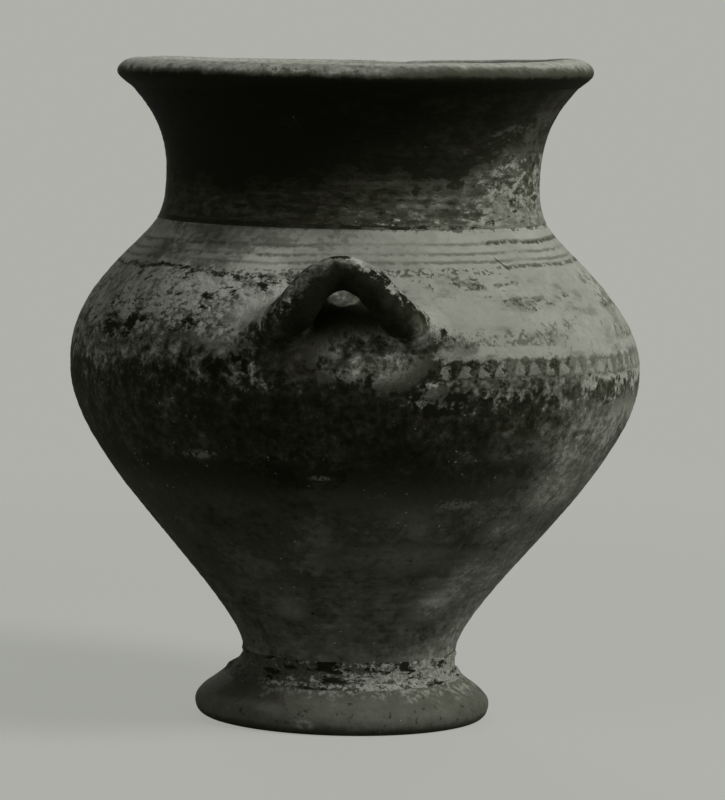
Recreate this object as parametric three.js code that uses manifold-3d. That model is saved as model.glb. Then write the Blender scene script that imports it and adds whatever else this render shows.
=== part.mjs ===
// Bowl jar: a hand-made ceramic jar with a flaring mouth, a wide belly, a ring foot and two loop
// handles on its shoulder. A potter throws it as separate rings and lutes them together with
// beds of clay slip, then presses on the handles and works a collar of clay round each root.
// Millimetres, +Z up. The jar stands on Z = 0 and its front handle faces -Y.

import * as THREE from 'three';
import { mergeVertices } from 'three/addons/utils/BufferGeometryUtils.js';
import Module from 'manifold-3d';

const wasm = await Module();
wasm.setup();

// Driving dimensions of the rings. Every pair is [radius, height].
const REST_INNER = [45.5, 0];
const REST_OUTER = [53, 0];
const TOE = [55.8, 7.2];
const FOOT_TOP = [45.4, 15.6];
const FOOT_HOLLOW = [31, 15.6];
const FOOT_SHIFT = -2.2;

const STEM_UNDERSIDE = 16.8;
const STEM = [40, 22];
const FLOOR = [10, 28.5];
const SHOULDER_TURN = [81.8, 180];
const SHOULDER_TURN_INSIDE = [76.2, 175];
const WAIST = [70.8, 205.5];
const WAIST_INSIDE = [64.2, 204];
const LIP_EDGE = [89.6, 247.2];
const LIP_TOP = [81.5, 250.5];

// Each joint runs across the wall from its outer point to its inner point. The wall passes it
// in the direction "along", upwards.
const BELLY_JOINT = { outer: [108.6, 132.5], inner: [101.6, 134.5], along: [0, 1] };
const NECK_JOINT = { outer: [74.2, 189], inner: [68.1, 185.9], along: [-0.46, 0.89] };
const LIP_JOINT = { outer: [84.2, 239], inner: [79.4, 243.8], along: [0.7, 0.71] };
const BED_HALF = 0.5;
const BED_GAP = 0.2;

// The slip fillet in the corner between the foot and the stem.
const FILLET_FOOT = [42.6, 15.8];
const FILLET_STEM = [40.5, 23.4];
const FILLET_BED_TOP = 16.6;
const FILLET_BED_INNER = 33;

// Drying and firing pulled the upper half askew: the neck leans, its mouth tilts and sags.
const LEAN = -2.5;
const MOUTH_TILT = 0.0157;
const MOUTH_SADDLE = 0.78;
const SAG_FROM = 150;
const MOUTH_RADIUS = 90;

// The handles. Each centreline point is [sideways, outwards from the axis, height].
const HANDLE_TURN = THREE.MathUtils.degToRad(-1.5);
const HANDLE_APEX_RADIUS = 6.2;
const HANDLE_END_RADIUS = 10.3;
const HANDLE_APEX = [0, 104.9, 175.6];
const HANDLE_ARCH = [8.6, 106, 172.4];
const HANDLE_LEG = [14.4, 106.6, 165.8];
const HANDLE_KNEE = [18.6, 104.8, 160.6];
const HANDLE_ROOT = [23, 99, 155.2];
const HANDLE_BURIED = [27.2, 91, 149.6];
const HANDLE_GAP = 0.3;

// A collar is a low oval mound of clay on the wall, which faces up by ROOT_SLOPE at a root.
const ROOT_SLOPE = THREE.MathUtils.degToRad(30);
const COLLAR_ACROSS = 11.4;
const COLLAR_ALONG = 14.2;
const COLLAR_HEIGHT = 5.4;
const COLLAR_DEPTH = 3;
const COLLAR_SPREAD = 2;

// Facets.
const AROUND = 48;
const HANDLE_SIDES = 12;
const HANDLE_STEPS = 26;
const COLLAR_SIDES = 18;
const WELD = 1e-4;

const CLAY = { color: 0x6f6c5c, roughness: 0.86, metalness: 0 };
const DARK_SLIP = { color: 0x35342b, roughness: 0.78, metalness: 0 };
const PALE_SLIP = { color: 0xb2ae98, roughness: 0.88, metalness: 0 };
const LUTING = { color: 0x57544a, roughness: 0.92, metalness: 0 };

// Points of one smooth stretch of an outline, a cubic curve through four [radius, height] pairs.
function stretch(count, ...pairs) {
  const ends = pairs.map(([radius, height]) => new THREE.Vector2(radius, height));
  return new THREE.CubicBezierCurve(...ends).getPoints(count);
}

function point([radius, height]) {
  return new THREE.Vector2(radius, height);
}

// The outer and inner end of a wall at a joint, moved along the wall by a distance.
function jointEdge(joint, distance) {
  const step = point(joint.along).multiplyScalar(distance);
  return [point(joint.outer).add(step).toArray(), point(joint.inner).add(step).toArray()];
}

const wallBelow = (joint) => jointEdge(joint, -BED_HALF - BED_GAP);
const wallAbove = (joint) => jointEdge(joint, BED_HALF + BED_GAP);

// A closed body with shared corners and without the collapsed faces that a pole leaves.
function weld(geometry) {
  geometry.deleteAttribute('normal');
  geometry.deleteAttribute('uv');
  const welded = mergeVertices(geometry, WELD);
  const corners = welded.index.array;
  const kept = [];
  for (let i = 0; i < corners.length; i += 3) {
    const [a, b, c] = corners.slice(i, i + 3);
    if (a !== b && b !== c && c !== a) kept.push(a, b, c);
  }
  welded.setIndex(kept);
  return welded;
}

// A ring turned about the jar's axis from an outline that runs up its outside and down its inside.
function turned(outline) {
  const closed = outline[0].x === 0 ? outline : [...outline, outline[0].clone()];
  return weld(new THREE.LatheGeometry(closed, AROUND).rotateX(Math.PI / 2));
}

// Moves a body as the firing moved the clay there.
function fired(geometry) {
  const corners = geometry.attributes.position;
  for (let i = 0; i < corners.count; i += 1) {
    const x = corners.getX(i);
    const y = corners.getY(i);
    const z = corners.getZ(i);
    const lean = THREE.MathUtils.smoothstep(z, BELLY_JOINT.outer[1], NECK_JOINT.outer[1]);
    const sag = THREE.MathUtils.smoothstep(z, SAG_FROM, LIP_TOP[1]);
    const saddle = MOUTH_SADDLE * (x * x - y * y) / MOUTH_RADIUS ** 2;
    corners.setX(i, x + LEAN * lean);
    corners.setZ(i, z + sag * (MOUTH_TILT * x + saddle));
  }
  return geometry;
}

function toManifold(geometry) {
  const vertProperties = new Float32Array(geometry.attributes.position.array);
  const triVerts = new Uint32Array(geometry.index.array);
  return new wasm.Manifold(new wasm.Mesh({ numProp: 3, vertProperties, triVerts }));
}

function fromManifold(body) {
  const { vertProperties, triVerts } = body.getMesh();
  const geometry = new THREE.BufferGeometry();
  geometry.setAttribute('position', new THREE.BufferAttribute(vertProperties, 3));
  geometry.setIndex(new THREE.BufferAttribute(triVerts, 1));
  return geometry;
}

// The shoulder's outer face, which the trim of the handles follows too.
function shoulderOutline(start, end) {
  return [
    ...stretch(8, start, [109.6, 150.5], [97.5, 165], SHOULDER_TURN),
    ...stretch(3, SHOULDER_TURN, [79, 182.7], [76.2, 185.7], end).slice(1),
  ];
}

function foot() {
  return turned([
    point(REST_INNER),
    ...stretch(5, REST_OUTER, [55.6, 0.4], [57.4, 4.2], TOE),
    ...stretch(4, TOE, [54.7, 9.4], [49.4, 12.8], FOOT_TOP).slice(1),
    ...stretch(4, FOOT_HOLLOW, [36, 13], [42.5, 7], REST_INNER).slice(0, -1),
  ]);
}

function footLute() {
  return turned([
    point([FILLET_BED_INNER, FILLET_FOOT[1]]),
    ...stretch(4, FILLET_FOOT, [41.4, 17.6], [40.7, 20], FILLET_STEM),
    point([STEM[0] + BED_GAP, STEM[1]]),
    point([STEM[0] + BED_GAP, FILLET_BED_TOP]),
    point([FILLET_BED_INNER, FILLET_BED_TOP]),
  ]);
}

function lowerBody() {
  const [outer, inner] = wallBelow(BELLY_JOINT);
  return turned([
    point([0, STEM_UNDERSIDE]),
    point([STEM[0], STEM_UNDERSIDE]),
    ...stretch(11, STEM, [STEM[0], 45.5], [107.8, 96.5], outer),
    ...stretch(8, inner, [97, 97], [26, 28.5], FLOOR),
    point([0, FLOOR[1]]),
  ]);
}

function shoulder() {
  const [bellyOuter, bellyInner] = wallAbove(BELLY_JOINT);
  const [neckOuter, neckInner] = wallBelow(NECK_JOINT);
  return turned([
    ...shoulderOutline(bellyOuter, neckOuter),
    ...stretch(2, neckInner, [70.2, 182.2], [73, 178.2], SHOULDER_TURN_INSIDE),
    ...stretch(6, SHOULDER_TURN_INSIDE, [91, 160.5], [102.6, 149], bellyInner).slice(1),
  ]);
}

function neck() {
  const [baseOuter, baseInner] = wallAbove(NECK_JOINT);
  const [lipOuter, lipInner] = wallBelow(LIP_JOINT);
  return turned([
    ...stretch(4, baseOuter, [72, 192.8], [70.8, 198.5], WAIST),
    ...stretch(6, WAIST, [70.8, 221], [76.2, 230], lipOuter).slice(1),
    ...stretch(6, lipInner, [70.5, 233], [64.2, 221], WAIST_INSIDE),
    ...stretch(3, WAIST_INSIDE, [64.2, 196], [66, 189.5], baseInner).slice(1),
  ]);
}

function lip() {
  const [outer, inner] = wallAbove(LIP_JOINT);
  return turned([
    ...stretch(5, outer, [88.6, 242.4], [91.8, 244], LIP_EDGE),
    ...stretch(4, LIP_EDGE, [87.8, 249.6], [84.5, LIP_TOP[1]], LIP_TOP).slice(1),
    ...stretch(4, LIP_TOP, [79.6, LIP_TOP[1]], [78.6, 248.6], inner).slice(1),
  ]);
}

// The bed of slip that fills a joint.
function bed(joint) {
  const [lowOuter, lowInner] = jointEdge(joint, -BED_HALF);
  const [highOuter, highInner] = jointEdge(joint, BED_HALF);
  return turned([lowOuter, highOuter, highInner, lowInner].map(point));
}

// Everything inside the shoulder's outer face, which trims the handles and their collars.
function shoulderCore() {
  const widen = ([radius, height]) => [radius + HANDLE_GAP, height];
  const core = shoulderOutline(BELLY_JOINT.outer, NECK_JOINT.outer);
  const bottom = FLOOR[1];
  return turned([
    point([0, bottom]),
    point([BELLY_JOINT.outer[0] + HANDLE_GAP, bottom]),
    ...core.map((corner) => point(widen(corner.toArray()))),
    point([0, NECK_JOINT.outer[1]]),
  ]);
}

// A centreline point on one side of a handle that faces -Y.
function handlePoint([sideways, outwards, height], side) {
  return new THREE.Vector3(side * sideways, -outwards, height);
}

// A clay roll bent into a loop that thickens towards both ends, which run into the shoulder.
function handleRoll(extra) {
  const leg = [HANDLE_BURIED, HANDLE_ROOT, HANDLE_KNEE, HANDLE_LEG, HANDLE_ARCH];
  const left = leg.map((place) => handlePoint(place, -1));
  const right = leg.map((place) => handlePoint(place, 1)).reverse();
  const path = new THREE.CatmullRomCurve3([...left, handlePoint(HANDLE_APEX, 1), ...right]);
  const { normals, binormals } = path.computeFrenetFrames(HANDLE_STEPS);
  const corners = [];
  const faces = [];
  for (let step = 0; step <= HANDLE_STEPS; step += 1) {
    const centre = path.getPointAt(step / HANDLE_STEPS);
    const fromApex = Math.abs(2 * step / HANDLE_STEPS - 1);
    const swell = (HANDLE_END_RADIUS - HANDLE_APEX_RADIUS) * fromApex ** 2;
    for (let side = 0; side < HANDLE_SIDES; side += 1) {
      const angle = 2 * Math.PI * side / HANDLE_SIDES;
      const corner = normals[step].clone().multiplyScalar(Math.cos(angle));
      corner.addScaledVector(binormals[step], Math.sin(angle));
      corners.push(...corner.multiplyScalar(HANDLE_APEX_RADIUS + swell + extra).add(centre).toArray());
      if (step === HANDLE_STEPS) continue;
      const here = step * HANDLE_SIDES + side;
      const next = step * HANDLE_SIDES + (side + 1) % HANDLE_SIDES;
      faces.push(here, next, next + HANDLE_SIDES, here, next + HANDLE_SIDES, here + HANDLE_SIDES);
    }
  }
  const last = HANDLE_STEPS * HANDLE_SIDES;
  for (let side = 1; side < HANDLE_SIDES - 1; side += 1) {
    faces.push(0, side + 1, side, last, last + side, last + side + 1);
  }
  const roll = new THREE.BufferGeometry();
  roll.setAttribute('position', new THREE.Float32BufferAttribute(corners, 3));
  roll.setIndex(faces);
  return roll;
}

// Clay worked up round a root: a mound that stands square to the wall and is longest the way
// the roll leans.
function collarMound(side) {
  const root = handlePoint(HANDLE_ROOT, side);
  const out = new THREE.Vector3(root.x, root.y, 0).normalize().multiplyScalar(Math.cos(ROOT_SLOPE));
  out.z = Math.sin(ROOT_SLOPE);
  const lean = handlePoint(HANDLE_KNEE, side).sub(handlePoint(HANDLE_BURIED, side));
  const along = lean.projectOnPlane(out).normalize();
  const across = along.clone().cross(out);
  const edge = [COLLAR_ACROSS + COLLAR_SPREAD, -COLLAR_DEPTH];
  const outline = [
    point([0, -COLLAR_DEPTH]),
    ...stretch(5, edge, [COLLAR_ACROSS, 0.8], [7.4, 4.4], [0, COLLAR_HEIGHT]),
  ];
  const mound = weld(new THREE.LatheGeometry(outline, COLLAR_SIDES));
  mound.scale(COLLAR_ALONG / COLLAR_ACROSS, 1, 1);
  mound.applyMatrix4(new THREE.Matrix4().makeBasis(along, out, across));
  return mound.translate(root.x, root.y, root.z);
}

// A handle or a collar, turned to its place and trimmed to what it sits on.
function attached(geometry, turn, ...neighbours) {
  let body = toManifold(geometry.rotateZ(turn));
  for (const neighbour of neighbours) body = body.subtract(toManifold(neighbour));
  return fired(fromManifold(body));
}

function handle(turn) {
  return attached(handleRoll(0), turn, shoulderCore());
}

function collar(turn, side) {
  const room = handleRoll(HANDLE_GAP).rotateZ(turn);
  return attached(collarMound(side), turn, shoulderCore(), room);
}

const jar = new THREE.Group();

function place(name, geometry, finish) {
  geometry.computeVertexNormals();
  const mesh = new THREE.Mesh(geometry, new THREE.MeshStandardMaterial(finish));
  mesh.name = name;
  jar.add(mesh);
  return mesh;
}

place('foot', foot(), CLAY).position.x = FOOT_SHIFT;
place('foot_lute', footLute(), PALE_SLIP);
place('lower_body', lowerBody(), CLAY);
place('belly_lute', fired(bed(BELLY_JOINT)), LUTING);
place('shoulder', fired(shoulder()), PALE_SLIP);
place('neck_lute', fired(bed(NECK_JOINT)), LUTING);
place('neck', fired(neck()), DARK_SLIP);
place('lip_lute', fired(bed(LIP_JOINT)), LUTING);
place('lip', fired(lip()), PALE_SLIP);

const handleFaces = { front: HANDLE_TURN, back: HANDLE_TURN + Math.PI };
for (const [face, turn] of Object.entries(handleFaces)) {
  place(`${face}_handle`, handle(turn), DARK_SLIP);
  place(`${face}_handle_left_collar`, collar(turn, -1), CLAY);
  place(`${face}_handle_right_collar`, collar(turn, 1), CLAY);
}

export default jar;
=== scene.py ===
"""Bowl jar: a footed, wheel-thrown jar with a flaring neck, two loop handles and worn slips.

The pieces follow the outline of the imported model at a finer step. Throwing ridges, the
uneven lip, the pressed handles and the lime crust over the foot are worked into the meshes,
and the painted and worn surfaces are node materials in the jar's own coordinates.
"""

import math

import bpy
import numpy as np
from bpy.props import FloatProperty, FloatVectorProperty, IntProperty, PointerProperty
from mathutils import Matrix, Vector, noise


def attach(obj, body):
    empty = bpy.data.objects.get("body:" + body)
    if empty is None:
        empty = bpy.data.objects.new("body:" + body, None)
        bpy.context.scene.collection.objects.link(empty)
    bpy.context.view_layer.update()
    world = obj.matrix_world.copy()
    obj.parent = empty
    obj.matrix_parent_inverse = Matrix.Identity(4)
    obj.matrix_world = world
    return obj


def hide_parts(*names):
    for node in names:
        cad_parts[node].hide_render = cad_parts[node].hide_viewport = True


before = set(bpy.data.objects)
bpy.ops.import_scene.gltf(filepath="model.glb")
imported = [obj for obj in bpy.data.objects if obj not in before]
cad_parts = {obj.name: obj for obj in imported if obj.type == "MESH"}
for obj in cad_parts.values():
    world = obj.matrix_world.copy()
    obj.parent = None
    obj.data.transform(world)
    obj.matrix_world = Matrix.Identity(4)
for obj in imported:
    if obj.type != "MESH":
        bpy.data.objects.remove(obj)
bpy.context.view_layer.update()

bl_info = {
    "name": "Bowl jar",
    "version": (1, 0, 0),
    "blender": (4, 5, 0),
    "location": "View3D > Sidebar > Bowl Jar",
    "description": "Builds a footed jar with a flaring neck, loop handles and worn slips",
    "category": "Add Mesh",
}

MM = 0.001

# Outlines in millimetres as (distance from the axis, height). Each is a chain of curves
# with four control points: start, two pulls and end. An outside runs up the jar, and an
# inside back down. The lip's outside goes all round it.
OUTSIDES = {
    "foot": [
        [(53, 0), (55.6, 0.4), (57.4, 4.2), (55.8, 7.2)],
        [(55.8, 7.2), (54.7, 9.4), (49.4, 12.8), (45.4, 15.6)],
    ],
    "foot_lute": [[(45.6, 15.4), (42.4, 17.6), (40.9, 19.8), (40.7, 25.6)]],
    "lower_body": [
        [(2, 16.8), (14, 16.8), (27, 16.8), (40, 16.8)],
        [(40, 16.8), (40, 18.5), (40, 20.2), (40, 22)],
        [(40, 22), (40, 45.5), (107.8, 96.5), (108.6, 131.8)],
    ],
    "belly_lute": [[(108.6, 131.8), (108.6, 132.2), (108.6, 132.8), (108.6, 133.2)]],
    "shoulder": [
        [(108.6, 133.2), (109.6, 150.5), (97.5, 165), (81.8, 180)],
        [(81.8, 180), (79, 182.7), (76.2, 185.7), (74.52, 188.38)],
    ],
    "neck_lute": [[(74.52, 188.38), (74, 188.8), (73.7, 189.2), (73.88, 189.62)]],
    "neck": [
        [(73.88, 189.62), (72, 192.8), (70.8, 198.5), (70.8, 205.5)],
        [(70.8, 205.5), (70.8, 221), (76.2, 230), (83.71, 238.5)],
    ],
    "lip_lute": [[(83.71, 238.5), (84.05, 238.85), (84.35, 239.2), (84.69, 239.5)]],
    "lip": [
        [(84.69, 239.5), (88.6, 242.4), (91.8, 244), (89.6, 247.2)],
        [(89.6, 247.2), (87.8, 249.6), (84.5, 250.5), (81.5, 250.5)],
        [(81.5, 250.5), (79.6, 250.5), (78.6, 248.6), (79.89, 244.3)],
    ],
}
INSIDES = {
    "foot": [[(31, 15.6), (36, 13), (42.5, 7), (45.5, 0)]],
    "foot_lute": [[(39.4, 25.2), (39.4, 22), (39.4, 19), (39.4, 16)]],
    "lower_body": [
        [(101.6, 133.8), (97, 97), (26, 28.5), (10, 28.5)],
        [(10, 28.5), (7, 28.5), (5, 28.5), (2, 28.5)],
    ],
    "belly_lute": [[(101.6, 135.2), (101.6, 134.8), (101.6, 134.2), (101.6, 133.8)]],
    "shoulder": [
        [(68.42, 185.28), (70.2, 182.2), (73, 178.2), (76.2, 175)],
        [(76.2, 175), (91, 160.5), (102.6, 149), (101.6, 135.2)],
    ],
    "neck_lute": [[(67.78, 186.52), (68, 186.1), (68.2, 185.7), (68.42, 185.28)]],
    "neck": [
        [(78.91, 243.3), (70.5, 233), (64.2, 221), (64.2, 204)],
        [(64.2, 204), (64.2, 196), (66, 189.5), (67.78, 186.52)],
    ],
    "lip_lute": [[(79.89, 244.3), (79.55, 243.95), (79.25, 243.65), (78.91, 243.3)]],
    "lip": [],
}
BELLY_WALL = OUTSIDES["lower_body"][2:] + OUTSIDES["shoulder"]
INSIDE_STEPS = 2.5
SHARP_EDGE = math.radians(50)

# The kiln left the foot a little to one side and the mouth leaning and saddle shaped. The
# pairs are the heights between which each of these grows.
FOOT_SHIFT = -2.2
MOUTH_SHIFT = -2.5
MOUTH_TILT = 0.0157
MOUTH_SADDLE = 0.78
MOUTH_RADIUS = 90
JUNCTION = (15.6, 24)
LEAN = (132.5, 189)
SAG = (150, 250.5)

# Layers of roughness on the meshes, as (size in millimetres, seed, share).
WALL_WANDER = ((48, 3.1, 1), (17, 8.7, 0.5))
WALL_GRIT = ((2.6, 21.3, 1), (1.2, 5.9, 0.7))
FINGER_MARKS = ((9, 61.2, 1), (4.2, 33.3, 0.5))
HANDLE_GRIT = ((1.6, 91.7, 1),)
RIDGE_SPACING = 4.6

# Rows of lime over the joint of foot and body, as (height, half height), and the lip's edge.
LIME_ROWS = ((25.2, 2.6), (17.6, 2.2))
LIP_EDGE = (243, 246)

# A handle's roll in millimetres as (sideways, outwards, height), from the top of the loop,
# and the collars that smear its roots out over the wall.
HANDLE_TURNS = {"front": -1.5, "back": 178.5}
HANDLE_PATH = [
    (0, 104.9, 175.6), (8.6, 106, 172.4), (14.4, 106.6, 165.8),
    (18.6, 104.8, 160.6), (23, 99, 155.2), (27.2, 91, 149.6),
]
HANDLE_TOP_RADIUS = 6.2
HANDLE_END_RADIUS = 10.3
HANDLE_SIDES = 48
HANDLE_STEPS = 150
KNOT_STEPS = 24
RUN_STEP = 0.02
ROOT_DEPTH = 2.2
ROOT_SEARCH = (0.35, 1.0)
ROOT_ROUNDS = 30
COLLAR_RISE = 0.11
COLLAR_REACH = 3.2
COLLAR_DEPTH = 0.7
COLLAR_CORE = 1.5
COLLAR_STEPS = 14
COLLAR_PRESS = 0.8
EDGE_ROUNDS = 4
WEB_RISE = 0.1
WEB_REACH = {-1: 9, 1: 8}
WEB_LEAN = 0.6

# Painted bands on the shoulder: heights in millimetres, turns in degrees.
SHOULDER_LINES = (183.9, 180.6, 177.8)
UPPER_STROKE = 184.1
LOWER_STROKE = 175.7
SPECKLED_LINE = 174.4
JOG_TURN = 39.5
JOG_HALF = 1.1
JOG_HEIGHT = 177.6
UPPER_DABS = (169.4, 172.8)
LOWER_DABS = (161.8, 165.8)
TRIANGLE_FOOT = 150
TRIANGLE_HALF = 1.9
CHAIN_FOOT = (137.2, 138.2)
CHAIN_TOP = (145.8, 144.6)
CELL_HALF = 1.95

# Edges of the worn finishes, in millimetres of height.
SLIP_EDGE = (176, 170)
CRUST_BAND = (149.5, 172)
CRACK_HEIGHT = 173
WASH_TOP = (137, 133.5)
PAINT_EDGE = 205
NECK_FOOT = 190.2

# Places where the wash is rubbed thin or lies thick: turn in degrees, height, half width
# in degrees, half height, and how far its level changes there.
THIN_PLACES = (
    (35, 111, 9, 7, 0.18), (57, 91, 12, 10, 0.18), (45, 79, 9, 5, 0.14), (14, 69, 26, 7, 0.13),
    (34, 47, 12, 8, 0.14), (-25, 46, 10, 5, 0.12), (-21, 161, 6, 6, 0.25), (-28, 152, 7, 5, 0.2),
    (-24, 176, 9, 7, 0.12), (140, 70, 18, 8, 0.12), (-150, 86, 14, 9, 0.12),
)
THICK_PLACES = (
    (-12, 103, 11, 9, 0.16), (16, 132, 6, 8, 0.36), (-25, 140.5, 6, 4, 0.2), (170, 104, 12, 7, 0.13),
)

# Pale smears on the wash: turn, height, half width and half height, and how far wear and
# flakes tear them.
SMEARED_PLACES = (
    (-34, 107, 6, 2.4, 0.7, 0.7), (-7, 100.6, 3, 1.6, 0.7, 0.7), (26, 90, 8, 3, 0.9, 0.8),
    (-11, 40, 10, 1.4, 0.9, 0.8), (166, 96, 8, 2.6, 0.9, 0.8), (-140, 70, 7, 2, 0.9, 0.8),
)

# The picture's height and focal length in pixels, and the camera's sensor and the point
# it aims at in millimetres.
PICTURE_HEIGHT = 800
FOCAL_PIXELS = 4150
SENSOR = 36
AIM = (3.06, 0, 120.9)

# Each lamp's place and width, in metres.
LAMPS = {
    "key": ((1.45, -0.62, 1.45), 0.8),
    "fill": ((-1.5, -1.6, 1.3), 1.6),
    "back": ((-0.25, 2.3, 0.7), 1.4),
}

# The floor's size in metres, the tone of its paper under the lamps, and how far from
# the jar the paper takes shadows before it turns into the room.
FLOOR_RADIUS = 30.0
FLOOR_RINGS = 12
FLOOR_SIDES = 64
PAPER_TONE = 0.67
NEAR_GLOW = 1.16
SHADOW_REACH = (0.35, 1.1)


def smooth(values, low, high):
    """Goes softly from 0 at low to 1 at high."""
    t = np.clip((values - low) / (high - low), 0, 1)
    return t * t * (3 - 2 * t)


def drawn(chain, step):
    """Points along a chain of curves, about one step apart."""
    points = []
    for curve in chain:
        corners = np.array(curve, float)
        length = np.linalg.norm(np.diff(corners, axis=0), axis=1).sum()
        t = np.linspace(0, 1, max(2, math.ceil(length / step) + 1))[:, None]
        bend = [(1 - t) ** 3, 3 * t * (1 - t) ** 2, 3 * t ** 2 * (1 - t), t ** 3]
        row = sum(weight * corner for weight, corner in zip(bend, corners))
        points.extend(row if not points else row[1:])
    return np.array(points)


def rough(points, size, seed):
    """Soft noise between about -1 and 1, with features of the given size."""
    places = points / size + np.array((seed, 1.7 * seed, -0.6 * seed))
    return np.array([noise.noise(place) for place in places.tolist()])


def layered(points, layers):
    """Layers of soft noise added up."""
    return sum(share * rough(points, size, seed) for size, seed, share in layers)


def relief(points, form):
    """How far the hand-made wall stands off its drawn outline, in millimetres."""
    height = points[:, 2]
    spacing = RIDGE_SPACING + 1.3 * rough(points * (0, 0, 1), 37, 12.4)
    turns = np.sin(2 * math.pi * height / spacing + 2 * rough(points, 60, 14.8))
    ridges = turns * (0.6 + 0.4 * rough(points, 40, 2.2))
    wander = form.unevenness * layered(points, WALL_WANDER)
    grit = form.grit * layered(points, WALL_GRIT)
    return smooth(height, 0, 3) / MM * (wander + grit + form.ridges * ridges)


def lime_crust(points, form):
    """Height of the lime that grew over the joint of foot and body, in millimetres."""
    lumps = rough(points * (1, 1, 1.5), 5.2, 31.7) + 0.6 * rough(points, 2.3, 17.1)
    hold = smooth(rough(points * (1, 1, 0.3), 19, 44.2), -0.35, 0.25)
    rows = sum(np.exp(-((points[:, 2] - middle) / half) ** 2) for middle, half in LIME_ROWS)
    return form.crust / MM * hold * rows * (lumps + 0.25)


def lip_wear(points, form):
    """Dents and small losses along the lip, in millimetres below its outline."""
    dents = smooth(rough(points, 13, 71.3), 0.28, 0.62)
    nicks = smooth(rough(points, 4.1, 52.9), 0.42, 0.7)
    return -form.lip_wear / MM * smooth(points[:, 2], *LIP_EDGE) * (dents + 0.6 * nicks)


def handle_relief(points, form):
    """Finger-pressed unevenness of a handle, in millimetres."""
    press = form.handle_press / MM * layered(points, FINGER_MARKS)
    return press + form.grit / MM * layered(points, HANDLE_GRIT)


def settled(points):
    """The same points after the foot was set aside a little and the kiln bent the mouth."""
    x, y, z = points.T
    foot = 1 - smooth(z, *JUNCTION)
    saddle = MOUTH_SADDLE * (x * x - y * y) / MOUTH_RADIUS ** 2
    moved_x = x + FOOT_SHIFT * foot + MOUTH_SHIFT * smooth(z, *LEAN)
    return np.stack([moved_x, y, z + smooth(z, *SAG) * (MOUTH_TILT * x + saddle)], axis=1)


def outward(outline):
    """Directions square to an outline, away from the clay it bounds on its left."""
    run = np.gradient(outline, axis=0)
    square = np.stack([run[:, 1], -run[:, 0]], axis=1)
    return square / np.linalg.norm(square, axis=1, keepdims=True)


def swept(outline, directions, count):
    """Points and directions of an outline taken round the axis, row by row."""
    angle = np.linspace(0, 2 * math.pi, count, endpoint=False)
    circle = np.stack([np.cos(angle), np.sin(angle)], axis=1)
    parts = []
    for flat in (outline, directions):
        ring = flat[:, None, 0, None] * circle[None]
        rise = np.repeat(flat[:, 1, None], count, axis=1)[..., None]
        parts.append(np.concatenate([ring, rise], axis=2).reshape(-1, 3))
    return parts


def ring_faces(rows, count, closed):
    """Four-sided faces between neighbouring rows of points."""
    last = rows if closed else rows - 1
    row = np.arange(last)[:, None] * count
    after = (np.arange(last)[:, None] + 1) % rows * count
    here = np.arange(count)[None]
    following = (here + 1) % count
    faces = np.stack(
        [row + here, row + following, after + following, after + here], axis=2
    )
    return faces.reshape(-1, 4).tolist()


def end_faces(rows, count):
    """The two faces that close the first and the last row of points."""
    first = list(range(count))
    return [first[::-1], [(rows - 1) * count + corner for corner in first]]


def add_piece(name, points, faces, finishes, inner=()):
    """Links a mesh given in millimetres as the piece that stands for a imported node."""
    mesh = bpy.data.meshes.new("finished_" + name)
    mesh.from_pydata((points * MM).tolist(), [], faces)
    mesh.polygons.foreach_set("use_smooth", [True] * len(faces))
    for finish in finishes:
        mesh.materials.append(finish)
    if len(inner):
        index = np.zeros(len(faces), int)
        index[inner] = 1
        mesh.polygons.foreach_set("material_index", index.tolist())
    mesh.set_sharp_from_angle(angle=SHARP_EDGE)
    mesh.validate()
    piece = bpy.data.objects.new("finished_" + name, mesh)
    bpy.context.scene.collection.objects.link(piece)
    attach(piece, "root")
    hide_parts(name)


def turn_piece(name, finishes, form, capped=False):
    """Turns one piece on the wheel from its outside and inside outlines."""
    step = form.row_step / MM
    outer = drawn(OUTSIDES[name], step)
    inner = drawn(INSIDES[name], INSIDE_STEPS * step)
    count = form.around
    points, away = swept(outer, outward(outer), count)
    lift = relief(points, form) + lime_crust(points, form) + lip_wear(points, form)
    shaped = [points + away * lift[:, None]]
    if len(inner):
        points, away = swept(inner, outward(inner), count)
        shaped.append(points + away * relief(points, form)[:, None])
    rows = len(outer) + len(inner)
    faces = ring_faces(rows, count, closed=not capped)
    if capped:
        faces += end_faces(rows, count)
    inner_faces = range((len(outer) - 1) * count, len(faces)) if len(finishes) > 1 else ()
    add_piece(name, settled(np.concatenate(shaped)), faces, finishes, inner_faces)


def wall_radius(height):
    """Outside radius of the shoulder and body at a height, in millimetres."""
    wall = drawn(BELLY_WALL, 1)
    return np.interp(height, wall[:, 1], wall[:, 0])


def wall_depth(points):
    """About how deep points lie in the wall, square to it; negative outside."""
    radius = np.hypot(points[:, 0], points[:, 1])
    height = points[:, 2]
    slope = (wall_radius(height + 1) - wall_radius(height - 1)) / 2
    return (wall_radius(height) - radius) / np.hypot(1, slope)


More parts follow.
